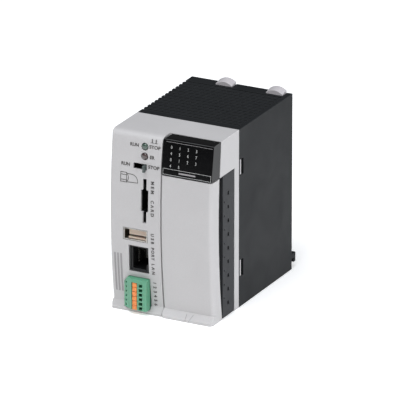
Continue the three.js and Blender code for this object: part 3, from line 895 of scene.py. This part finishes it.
@dataclass(frozen=True)
class Word:
    """One printed word or number.

    Attributes:
        text: What it says.
        middle: Its middle in X and Z, in millimetres.
        height_mm: Height of its capitals.
        turn: Turn clockwise, in degrees.
        squeeze: Width against the type's own.
        spacing: Space between letters against the type's own.
    """

    text: str
    middle: Point
    height_mm: float = 1.75
    turn: float = 0.0
    squeeze: float = 1.0
    spacing: float = 1.0


@dataclass
class PrintSheet:
    """Marks printed on one front face, gathered into one thin piece.

    Attributes:
        name: Name of the piece.
        face: The face they are printed on.
        ink: The ink's finish.
        body: The body that the face belongs to.
        slot: The record's material slot; not used.
        film_mm: Thickness of the ink.
        bold: Swelling of the type's strokes, as a share of its height.
        capital: Height of a capital, as a share of the type's size.
        bm: The marks so far, flat and in millimetres.
    """

    name: str
    face: Surface
    ink: Finish
    body: Body = Body.MODULE
    slot: Slot = Slot.BEZEL
    film_mm: float = 0.03
    bold: float = 0.045
    capital: float = 0.7
    bm: bmesh.types.BMesh = field(default_factory=bmesh.new)

    def word(self, word: Word) -> None:
        """Prints a word or number.

        Args:
            word: What to print, and where.
        """
        curve = bpy.data.curves.new("type", "FONT")
        curve.body = word.text
        curve.align_x = "CENTER"
        curve.align_y = "CENTER"
        curve.size = word.height_mm / self.capital
        curve.offset = self.bold * word.height_mm
        curve.space_character = word.spacing
        curve.resolution_u = 3
        obj = link(bpy.data.objects.new("type", curve))
        bpy.context.view_layer.update()
        evaluated = obj.evaluated_get(bpy.context.evaluated_depsgraph_get())
        mesh = bpy.data.meshes.new_from_object(evaluated)
        spin = Matrix.Rotation(-math.radians(word.turn), 2)
        added = bmesh.new()
        added.from_mesh(mesh)
        for vert in added.verts:
            flat = spin @ Vector((vert.co.x * word.squeeze, vert.co.y))
            vert.co = (flat.x + word.middle[0], 0.0, flat.y + word.middle[1])
        added.to_mesh(mesh)
        added.free()
        self.bm.from_mesh(mesh)
        bpy.data.objects.remove(obj)
        bpy.data.curves.remove(curve)
        bpy.data.meshes.remove(mesh)

    def bar(self, low: Point, high: Point, cells: int = 1) -> None:
        """Prints a solid bar.

        Args:
            low: Its lower left corner in X and Z, in millimetres.
            high: Its upper right corner.
            cells: Number of steps up it, so that a tall bar follows the face.
        """
        rows = [low[1] + (high[1] - low[1]) * step / cells for step in range(cells + 1)]
        pairs = [[self.bm.verts.new((x, 0.0, z)) for x in (low[0], high[0])] for z in rows]
        for lower, upper in zip(pairs, pairs[1:]):
            self.bm.faces.new([lower[0], lower[1], upper[1], upper[0]])

    def stroke(self, points: Sequence[Point], width_mm: float, closed: bool = False) -> None:
        """Prints a line of even width through points.

        Args:
            points: Its points in X and Z, in millimetres.
            width_mm: Its width.
            closed: Whether its end meets its start.
        """
        spots = [Vector(point) for point in points]
        count = len(spots)
        sides = []
        for index, spot in enumerate(spots):
            before = spots[index - 1] if closed or index else spot
            after = spots[(index + 1) % count] if closed or index < count - 1 else spot
            arriving = (spot - before if (spot - before).length else after - spot).normalized()
            leaving = (after - spot).normalized() if (after - spot).length else arriving
            run = (arriving + leaving).normalized()
            across = Vector((-run.y, run.x)) * (width_mm / 2 / max(0.4, run.dot(leaving)))
            sides.append([spot + across, spot - across])
        verts = [[self.bm.verts.new((p.x, 0.0, p.y)) for p in pair] for pair in sides]
        for index in range(count if closed else count - 1):
            one, two = verts[index], verts[(index + 1) % count]
            self.bm.faces.new([one[0], one[1], two[1], two[0]])

    def build(self) -> bpy.types.Object:
        """Lays the marks on their face as a thin film.

        Returns:
            The finished piece.
        """
        bm = self.bm
        bmesh.ops.remove_doubles(bm, verts=bm.verts, dist=SAME_SPOT_MM)
        grown = bmesh.ops.extrude_face_region(bm, geom=list(bm.faces))
        front = {item for item in grown["geom"] if isinstance(item, bmesh.types.BMVert)}
        for vert in bm.verts:
            lift = self.film_mm if vert in front else -self.film_mm
            vert.co = Vector((vert.co.x, self.face.depth(vert.co.z) - lift, vert.co.z)) * MM
        return piece(self.name, bm, self.ink, self.body)


# ---- Sub-assemblies ------------------------------------------------------------------------------


@dataclass
class RearHousing:
    """The dark ventilated case and the two lock buttons with their springs.

    Attributes:
        latch_x: Middle of each lock button in X.
        latch_y: Axis of both springs in Y.
        spring_base: Foot of a spring.
        spring_top: Head of a spring at rest.
        spring_radius: Mean radius of its coil.
        wire: Thickness of its wire.
        turns: Number of its turns.
        travel: How far a button goes down; not used.
        steps: Rings of facets in one turn of a spring.
        around: Facets round its wire.
    """

    latch_x: dict[str, float] = field(default_factory=lambda: {"left": -8.3, "right": 21.7})
    latch_y: float = 41.0
    spring_base: float = 82.35
    spring_top: float = 89.65
    spring_radius: float = 2.35
    wire: float = 0.55
    turns: float = 6.0
    travel: float = 3.0
    steps: int = 20
    around: int = 8

    def build(self) -> None:
        """Dresses the case and builds the springs."""
        dress("rear_housing", HOUSING, 0.3, 2, flatten=False)
        for side, middle in self.latch_x.items():
            dress(f"lock_button_{side}", LATCH, 0.4, 3)
            self.spring(side, middle)

    def spring(self, side: str, middle: float) -> None:
        """Builds one coil spring with closed, ground ends.

        Args:
            side: Which button it lies under.
            middle: Its axis in X, in millimetres.
        """
        steps = int(self.turns * self.steps)
        low, high = self.spring_base + self.wire / 2, self.spring_top - self.wire / 2
        bm = bmesh.new()
        rings = []
        for step in range(steps + 1):
            share = step / steps
            angle = 2 * math.pi * self.turns * share
            eased = min(1.0, max(0.0, (share - 1 / self.turns) / (1 - 2 / self.turns)))
            height = low + (high - low) * eased
            outward = Vector((math.cos(angle), math.sin(angle), 0))
            centre = Vector((middle, self.latch_y, height)) + outward * self.spring_radius
            ring = []
            for facet in range(self.around):
                turn = 2 * math.pi * facet / self.around
                offset = outward * math.cos(turn) + Vector((0, 0, 1)) * math.sin(turn)
                ring.append(bm.verts.new((centre + offset * self.wire / 2) * MM))
            rings.append(ring)
        add_tube(bm, rings)
        obj = piece(f"return_spring_{side}", bm, NICKEL, Body.MODULE)
        for polygon in obj.data.polygons:
            polygon.use_smooth = True
        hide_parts(f"latch_spring_{side}")
        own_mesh(obj)


@dataclass
class IndicatorWindow:
    """The smoked window with its channel numbers, and the light guide behind it.

    Attributes:
        columns: X of the first number and the step to the next.
        rows: Z of the top row and the step down to the next.
        digit_mm: Height of a number.
        squeeze: Width of a number against the type's own.
        numbers: The numbers, row by row.
        outline_low: Lower left corner of the outlined plate.
        outline_high: Its upper right corner.
        outline_mm: Width of its line.
        plate_bar: Corners of the plain bar on the plate.
        painted_top_edge_highlight: Corners of the pale line above the numbers. It is a painted highlight of
            the window's top front edge.
    """

    columns: Point = (5.3, 4.87)
    rows: Point = (95.55, -3.3)
    digit_mm: float = 1.6
    squeeze: float = 0.8
    numbers: tuple[str, ...] = ("0123", "4567", "0123", "45")
    outline_low: Point = (1.2, 80.95)
    outline_high: Point = (29.2, 84.0)
    outline_mm: float = 0.16
    plate_bar: tuple[Point, Point] = ((10.4, 82.1), (20.2, 82.9))
    painted_top_edge_highlight: tuple[Point, Point] = ((2.0, 98.2), (29.2, 98.35))

    def build(self) -> None:
        """Dresses the window, prints its marks, and prints a painted highlight along its top front edge."""
        dress("indicator_cover", SMOKED, 0.55, 4)
        dress("indicator_guide", CLEAR, 0.1, 1)
        dress("indicator_board", MASKED_BOARD, 0.1, 1)
        sheet = PrintSheet("window_print", Surface.WINDOW, WHITE_INK, slot=Slot.WINDOW, bold=0.0)
        for row, digits in enumerate(self.numbers):
            for column, digit in enumerate(digits):
                middle = (self.columns[0] + column * self.columns[1], self.rows[0] + row * self.rows[1])
                sheet.word(Word(digit, middle, self.digit_mm, squeeze=self.squeeze))
        low, high = self.outline_low, self.outline_high
        outline = [low, (high[0], low[1]), high, (low[0], high[1])]
        sheet.stroke(outline, self.outline_mm, closed=True)
        sheet.build()
        faint = PrintSheet("window_bars_and_painted_highlight", Surface.WINDOW, PALE_INK_AND_PAINTED_LIGHT, slot=Slot.WINDOW)
        faint.bar(*self.plate_bar)
        # Painted highlight: a pale ink line that stands in for the glint on the window's top front edge.
        faint.bar(*self.painted_top_edge_highlight)
        faint.build()


@dataclass
class PortColumn:
    """The bowed panel with its lamps, switch, card slot, sockets, plug and printed marks.

    Attributes:
        tongue_span: Left and right sides of the USB tongue.
        tongue_base: Its underside.
        contacts: Number of contacts under it.
        contact_half: Half the width of one.
        contact_y: Its front and back ends.
        contact_drop: Its lower and upper faces, below the tongue.
        clamp_x: Left and right sides of a wire clamp.
        clamp_y: Its front and back.
        clamp_half: Half its height.
        pole_middle: Middle of the plug's poles in Z.
        pole_pitch: Step between poles.
        poles: Number of poles.
        pole_word: X of the pole numbers, and their lift above the pole.
        words: The column's words.
        post_x: Middle of each pulse sign.
        post_z: Foot and head of a pulse sign.
        post_half: Half the width of its foot.
        post_weights: Widths of its foot line and its upright.
        bar_left: Left side of each plain bar.
        bar_width: Width of a plain bar.
        bar_z: Foot and head of the plain bars.
        symbol_weight: Width of the card symbol's lines.
    """

    tongue_span: Point = (-19.6, -9.1)
    tongue_base: float = 43.2
    contacts: int = 4
    contact_half: float = 0.6
    contact_y: Point = (-46.0, -37.3)
    contact_drop: Point = (0.35, 0.02)
    clamp_x: Point = (-11.9, -11.3)
    clamp_y: Point = (-44.6, -42.3)
    clamp_half: float = 0.7
    pole_middle: float = 10.1
    pole_pitch: float = 2.54
    poles: int = 6
    pole_word: Point = (-4.6, 1.6)
    words: tuple[Word, ...] = (
        Word("RUN", (-16.3, 93.65)),
        Word("STOP", (-4.3, 93.8), squeeze=1.1),
        Word("RUN", (-21.1, 82.55)),
        Word("STOP", (-4.5, 82.9), squeeze=1.1),
        Word("ER", (-5.7, 88.2), 1.7),
        Word("MEM", (-5.05, 72.0), turn=90, spacing=1.7),
        Word("CARD", (-5.05, 60.4), turn=90, spacing=1.6),
        Word("USB", (-5.1, 43.4), 1.7, turn=90, spacing=1.7),
        Word("PORT", (-5.1, 34.8), 1.7, turn=90, spacing=1.3),
        Word("LAN", (-5.1, 26.0), 1.7, turn=90, spacing=1.7),
    )
    post_x: Point = (-6.0, -3.7)
    post_z: Point = (96.2, 98.3)
    post_half: float = 0.9
    post_weights: Point = (0.26, 0.5)
    bar_left: Place = (-28.0, -26.2, -24.4)
    bar_width: float = 1.0
    bar_z: Point = (10.0, 32.0)
    symbol_weight: float = 0.32

    def build(self) -> None:
        """Dresses the column's nodes and adds its marks and contacts."""
        dress("front_bezel", BEZEL, 0.4, 3)
        dress("run_lens", GREEN_LENS, 0.1, 1)
        dress("fault_lens", RED_LENS, 0.1, 1)
        dress("mode_switch_body", BLACK_LCP, 0.12, 2)
        dress("mode_knob", GREY_KNOB, 0.25, 3)
        dress("card_socket", BLACK_LCP, 0.12, 2)
        dress("usb_shell", NICKEL, 0.2, 3)
        dress("usb_tongue", CREAM_LCP, 0.12, 2)
        dress("network_jack", BLACK_LCP, 0.15, 2)
        dress("network_contacts", TINNED, 0.08, 1)
        dress("plug_header", GREEN_PA, 0.15, 2)
        dress("header_pins", GOLD_FLASH, 0.06, 1)
        dress("field_plug", GREEN_PA, 0.18, 2, flatten=False)
        for pole in range(self.poles):
            dress(f"release_button_{pole + 1}", ORANGE_PA, 0.28, 3)
        self.usb_contacts()
        self.clamps()
        self.marks()

    def pole_height(self, pole: int) -> float:
        """Gives the height of a pole of the plug, counted up from 0."""
        return self.pole_middle + (pole - (self.poles - 1) / 2) * self.pole_pitch

    def usb_contacts(self) -> None:
        """Adds the contacts under the tongue."""
        bm = bmesh.new()
        left, right = self.tongue_span
        for contact in range(self.contacts):
            middle = left + (right - left) * (contact + 0.5) / self.contacts
            low = (middle - self.contact_half, self.contact_y[0], self.tongue_base - self.contact_drop[0])
            high = (middle + self.contact_half, self.contact_y[1], self.tongue_base - self.contact_drop[1])
            add_box(bm, low, high)
        piece("usb_contacts", bm, TINNED, Body.MODULE)

    def clamps(self) -> None:
        """Adds the tinned clamp seen at the bottom of each wire hole."""
        bm = bmesh.new()
        for pole in range(self.poles):
            height = self.pole_height(pole)
            low = (self.clamp_x[0], self.clamp_y[0], height - self.clamp_half)
            high = (self.clamp_x[1], self.clamp_y[1], height + self.clamp_half)
            add_box(bm, low, high)
        piece("wire_clamps", bm, NICKEL, Body.PLUG)

    def marks(self) -> None:
        """Prints the generic marks of the column."""
        sheet = PrintSheet("panel_print", Surface.PANEL, DARK_INK)
        for word in self.words:
            sheet.word(word)
        across, lift = self.pole_word
        for pole in range(self.poles):
            height = self.pole_height(self.poles - 1 - pole)
            sheet.word(Word(str(pole + 1), (across, height + lift), turn=90))
        foot, head = self.post_z
        for middle in self.post_x:
            sides = [(middle - self.post_half, foot), (middle + self.post_half, foot)]
            sheet.stroke(sides, self.post_weights[0])
            sheet.stroke([(middle, foot), (middle, head)], self.post_weights[1])
        self.card_symbol(sheet)
        sheet.build()
        bars = PrintSheet("panel_bars", Surface.PANEL, PALE_INK_AND_PAINTED_LIGHT)
        for left in self.bar_left:
            bars.bar((left, self.bar_z[0]), (left + self.bar_width, self.bar_z[1]), cells=10)
        bars.build()

    def card_symbol(self, sheet: PrintSheet) -> None:
        """Prints the outline of a memory card going into its slot.

        Args:
            sheet: The sheet it is printed on.
        """
        left, neck, right, base, top = -23.8, -20.3, -13.7, 72.6, 77.9
        weight = self.symbol_weight
        sheet.stroke([(left, base), (neck, base), (neck, top), (left, top)], weight, closed=True)
        for height in (base + 1.2, top - 1.3):
            sheet.stroke([(left, height), (neck, height)], weight)
        middle, wide, tall = 75.2, 1.1, 1.9
        turn = [math.radians(step * 18 - 90) for step in range(11)]
        sheet.stroke([(neck + wide * math.cos(a), middle + tall * math.sin(a)) for a in turn], weight)
        radius, inset = 3.8, 0.5
        turn = [math.radians(step * 15) for step in range(7)]
        corner = (right - radius, top - inset - radius)
        arc = [(corner[0] + radius * math.sin(a), corner[1] + radius * math.cos(a)) for a in turn]
        sheet.stroke([(neck, top - inset), *arc, (right, base + inset), (neck, base + 0.2)], weight)


@dataclass
class TerminalBay:
    """The swing door, and the screw terminals that it covers.

    Attributes:
        rows: Number of terminal rows.
        first_row: Height of the lowest row.
        row_pitch: Step between rows.
        columns: X of the two screw columns.
        floor_y: Floor of the screw wells.
        washer_half: Half the width and height of a washer.
        washer_lift: Its back and front faces above the floor.
        head: Outline of a screw head, radius and lift above its seat.
        seat: Lift of a screw's seat above the floor.
        slot_half: Half the width and height of the driver slot's dark bar.
        slot_lift: Its back and front faces above the floor.
        shade_lines: Foot and head in X of each pale line of painted groove shade.
        shade_z: Foot and head of those lines.
    """

    rows: int = 9
    first_row: float = 7.2
    row_pitch: float = 7.7
    columns: Point = (11.2, 24.4)
    floor_y: float = -37.0
    washer_half: Point = (2.6, 2.7)
    washer_lift: Point = (0.15, 1.0)
    head: tuple[Point, ...] = ((0.0, 0.9), (1.9, 0.9), (1.9, 2.2), (1.6, 2.6), (0.8, 2.8), (0.0, 2.85))
    seat: float = 0.1
    slot_half: Point = (1.5, 0.2)
    slot_lift: Point = (2.9, 3.05)
    shade_lines: tuple[Point, Point] = ((14.3, 14.3), (16.3, 18.1))
    shade_z: Point = (0.5, 3.9)

    def build(self) -> None:
        """Dresses the door and block, builds the terminal screws, and paints groove shade on the door's
        lip.
        """
        dress("terminal_door", BEZEL, 0.4, 3)
        dress("hinge_pin", NICKEL, 0.06, 1)
        dress("terminal_block", TERMINAL_PBT, 0.2, 2, flatten=False)
        dress("terminal_socket", BLACK_LCP, 0.2, 2)
        for end in ("top", "bottom"):
            dress(f"block_screw_{end}", NICKEL, 0.12, 2)
        for row in range(self.rows):
            for letter, across in zip("ab", self.columns):
                height = self.first_row + row * self.row_pitch
                self.screw(f"terminal_screw_{letter}{row + 1}", across, height)
        self.painted_groove_shade()

    def screw(self, name: str, across: float, height: float) -> None:
        """Builds one terminal's screw and its square clamping washer.

        Args:
            name: Name of the piece.
            across: Its axis in X.
            height: Its axis in Z.
        """

        def plate(half: Point, lift: Point) -> None:
            """Adds a flat plate on the screw's axis.

            Args:
                half: Half its width and half its height, in millimetres.
                lift: Its back and its front above the well's floor, in millimetres.
            """
            low = (across - half[0], self.floor_y - lift[1], height - half[1])
            high = (across + half[0], self.floor_y - lift[0], height + half[1])
            add_box(bm, low, high)

        bm = bmesh.new()
        plate(self.washer_half, self.washer_lift)
        place = Matrix.Translation((across, self.floor_y - self.seat, height))
        add_turned(bm, self.head, 24, place @ Matrix.Rotation(math.pi / 2, 4, "X"))
        plate(self.slot_half, self.slot_lift)
        piece(name, bm, NICKEL, Body.MODULE)

    def painted_groove_shade(self) -> None:
        """Adds two pale grey lines on the lip. They are painted shade of two shallow grooves."""
        bm = bmesh.new()
        steps = 6
        corners = ((-0.18, 0.06), (-0.18, -0.06), (0.18, -0.06), (0.18, 0.06))
        for foot, head in self.shade_lines:
            rings = []
            for step in range(steps + 1):
                share = step / steps
                height = self.shade_z[0] + (self.shade_z[1] - self.shade_z[0]) * share
                slope = max(0.0, (height - LIP_TOP) / (FLARE_TOP - LIP_TOP))
                face = DOOR_LIP + (Surface.DOOR.depth(FLARE_TOP) - DOOR_LIP) * slope
                middle = foot + (head - foot) * share
                spots = [Vector((middle + x, face + y, height)) * MM for x, y in corners]
                rings.append([bm.verts.new(spot) for spot in spots])
            add_tube(bm, rings)
        # Painted shade: pale ink where two grooves would darken the lip.
        piece("door_painted_groove_shade", bm, PALE_INK_AND_PAINTED_LIGHT, Body.DOOR)


@dataclass
class Innards:
    """The boards, the supply, the battery and the rack connector."""

    def build(self) -> None:
        """Dresses every inner node."""
        for node in ("main_board", "io_board", "power_board"):
            dress(node, MASKED_BOARD, 0.1, 1)
        for node in ("processor", "memory_chip", "battery_holder", "power_transformer"):
            dress(node, BLACK_LCP, 0.2, 2)
        dress("backplane_connector", BLACK_LCP, 0.2, 2)
        for node in ("battery", "capacitor_upper", "capacitor_lower"):
            dress(node, SLEEVE, 0.5, 3)
        dress("heat_sink", DRAWN_ALUMINIUM, 0.2, 2)
        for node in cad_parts:
            if node.startswith(("board_screw", "io_screw")):
                dress(node, NICKEL, 0.12, 2)


@dataclass(frozen=True)
class Softbox:
    """A soft square light.

    Attributes:
        name: Its name.
        place: Where it stands, in metres.
        size: Its side, in metres.
        power: Its power, in watts.
        colour: sRGB colour of its light.
    """

    name: str
    place: Place
    size: float
    power: float
    colour: str


@dataclass
class Studio:
    """Pale floor, soft lights and the camera.

    Attributes:
        azimuth: Camera's turn from straight in front, in degrees.
        elevation: Camera's height above the horizon, in degrees.
        distance: From the camera to the aim, in metres.
        lens: Focal length on the sensor, in millimetres.
        sensor: Width of the sensor, in millimetres.
        aim: Where the camera looks, in metres.
        shift_right: Sideways move of the aim, in metres.
        shift_up: Upward move of the aim, in metres.
        softboxes: The lights.
        floor_radius: Radius of the floor sheet, in metres.
        floor_place: Middle of the floor sheet, in metres.
        room: Strength of the dim room's light.
    """

    azimuth: float = 27.147
    elevation: float = 20.717
    distance: float = 3.628
    lens: float = 617.1
    sensor: float = 36.0
    aim: Place = (0.0, -0.00185, 0.05)
    shift_right: float = -0.000617
    shift_up: float = 0.000495
    softboxes: tuple[Softbox, ...] = (
        Softbox("top_softbox", (-0.1, -0.45, 1.25), 1.0, 18.0, "#f8fbff"),
        Softbox("right_softbox", (1.3, -0.15, 0.6), 0.9, 12.8, "#f8fbff"),
        Softbox("front_softbox", (-0.1, -1.5, 0.6), 0.9, 2.0, "#fffaf6"),
    )
    floor_radius: float = 1.3
    floor_place: Place = (0.0, 0.35, -0.0002)
    room: float = 0.1

    def build(self) -> None:
        """Sets up the studio."""
        self.camera()
        self.floor()
        for softbox in self.softboxes:
            self.light(softbox)
        self.world()

    def camera(self) -> None:
        """Places the camera at the shooting angle."""
        turn, rise = math.radians(self.azimuth), math.radians(self.elevation)
        level = math.cos(rise)
        back = Vector((math.sin(turn) * level, -math.cos(turn) * level, math.sin(rise)))
        right = Vector((math.cos(turn), math.sin(turn), 0.0))
        up = back.cross(right)
        target = Vector(self.aim) + right * self.shift_right + up * self.shift_up
        data = bpy.data.cameras.new("camera")
        data.lens = self.lens
        data.sensor_width = self.sensor
        data.clip_end = 50.0
        camera = link(bpy.data.objects.new("camera", data))
        camera.location = target + back * self.distance
        camera.rotation_mode = "QUATERNION"
        camera.rotation_quaternion = (-back).to_track_quat("-Z", "Y")
        bpy.context.scene.camera = camera

    def floor(self) -> None:
        """Lays a round floor sheet under the module."""
        bm = bmesh.new()
        bmesh.ops.create_circle(bm, cap_ends=True, radius=self.floor_radius, segments=96)
        mesh = bpy.data.meshes.new("floor")
        bm.to_mesh(mesh)
        bm.free()
        mesh.materials.append(LIGHT_TABLE.material())
        floor = link(bpy.data.objects.new("floor", mesh))
        floor.location = self.floor_place

    def light(self, softbox: Softbox) -> None:
        """Sets up a light that faces the module.

        Args:
            softbox: The light.
        """
        data = bpy.data.lights.new(softbox.name, "AREA")
        data.shape = "SQUARE"
        data.size = softbox.size
        data.energy = softbox.power
        data.color = linear(softbox.colour)[:3]
        lamp = link(bpy.data.objects.new(softbox.name, data))
        lamp.location = softbox.place
        aim = Vector(self.aim) - Vector(softbox.place)
        lamp.rotation_mode = "QUATERNION"
        lamp.rotation_quaternion = aim.to_track_quat("-Z", "Y")

    def world(self) -> None:
        """Makes a dim room that looks pale where the camera sees past the floor."""
        world = bpy.data.worlds.new("studio")
        bpy.context.scene.world = world
        world.use_nodes = True
        tree = world.node_tree
        tree.nodes.clear()
        add = partial(add_node, tree)
        seen = add("LightPath").outputs["Is Camera Ray"]
        dim = add("Background", {"Color": (0.97, 0.97, 1.0, 1.0), "Strength": self.room})
        pale = add("Background", {"Color": (1.0, 1.0, 1.0, 1.0), "Strength": 1.0})
        both = add("MixShader", {"Fac": seen, "Shader": dim.outputs[0], "Shader_001": pale.outputs[0]})
        add("OutputWorld", {"Surface": both.outputs[0]})


def main() -> None:
    """Builds the studio and every sub-assembly."""
    logging.basicConfig(level=logging.INFO, format="%(name)s: %(message)s")
    bpy.context.scene.view_settings.view_transform = "Standard"
    Studio().build()
    RearHousing().build()
    PortColumn().build()
    IndicatorWindow().build()
    TerminalBay().build()
    Innards().build()


if __name__ == "__main__":
    main()
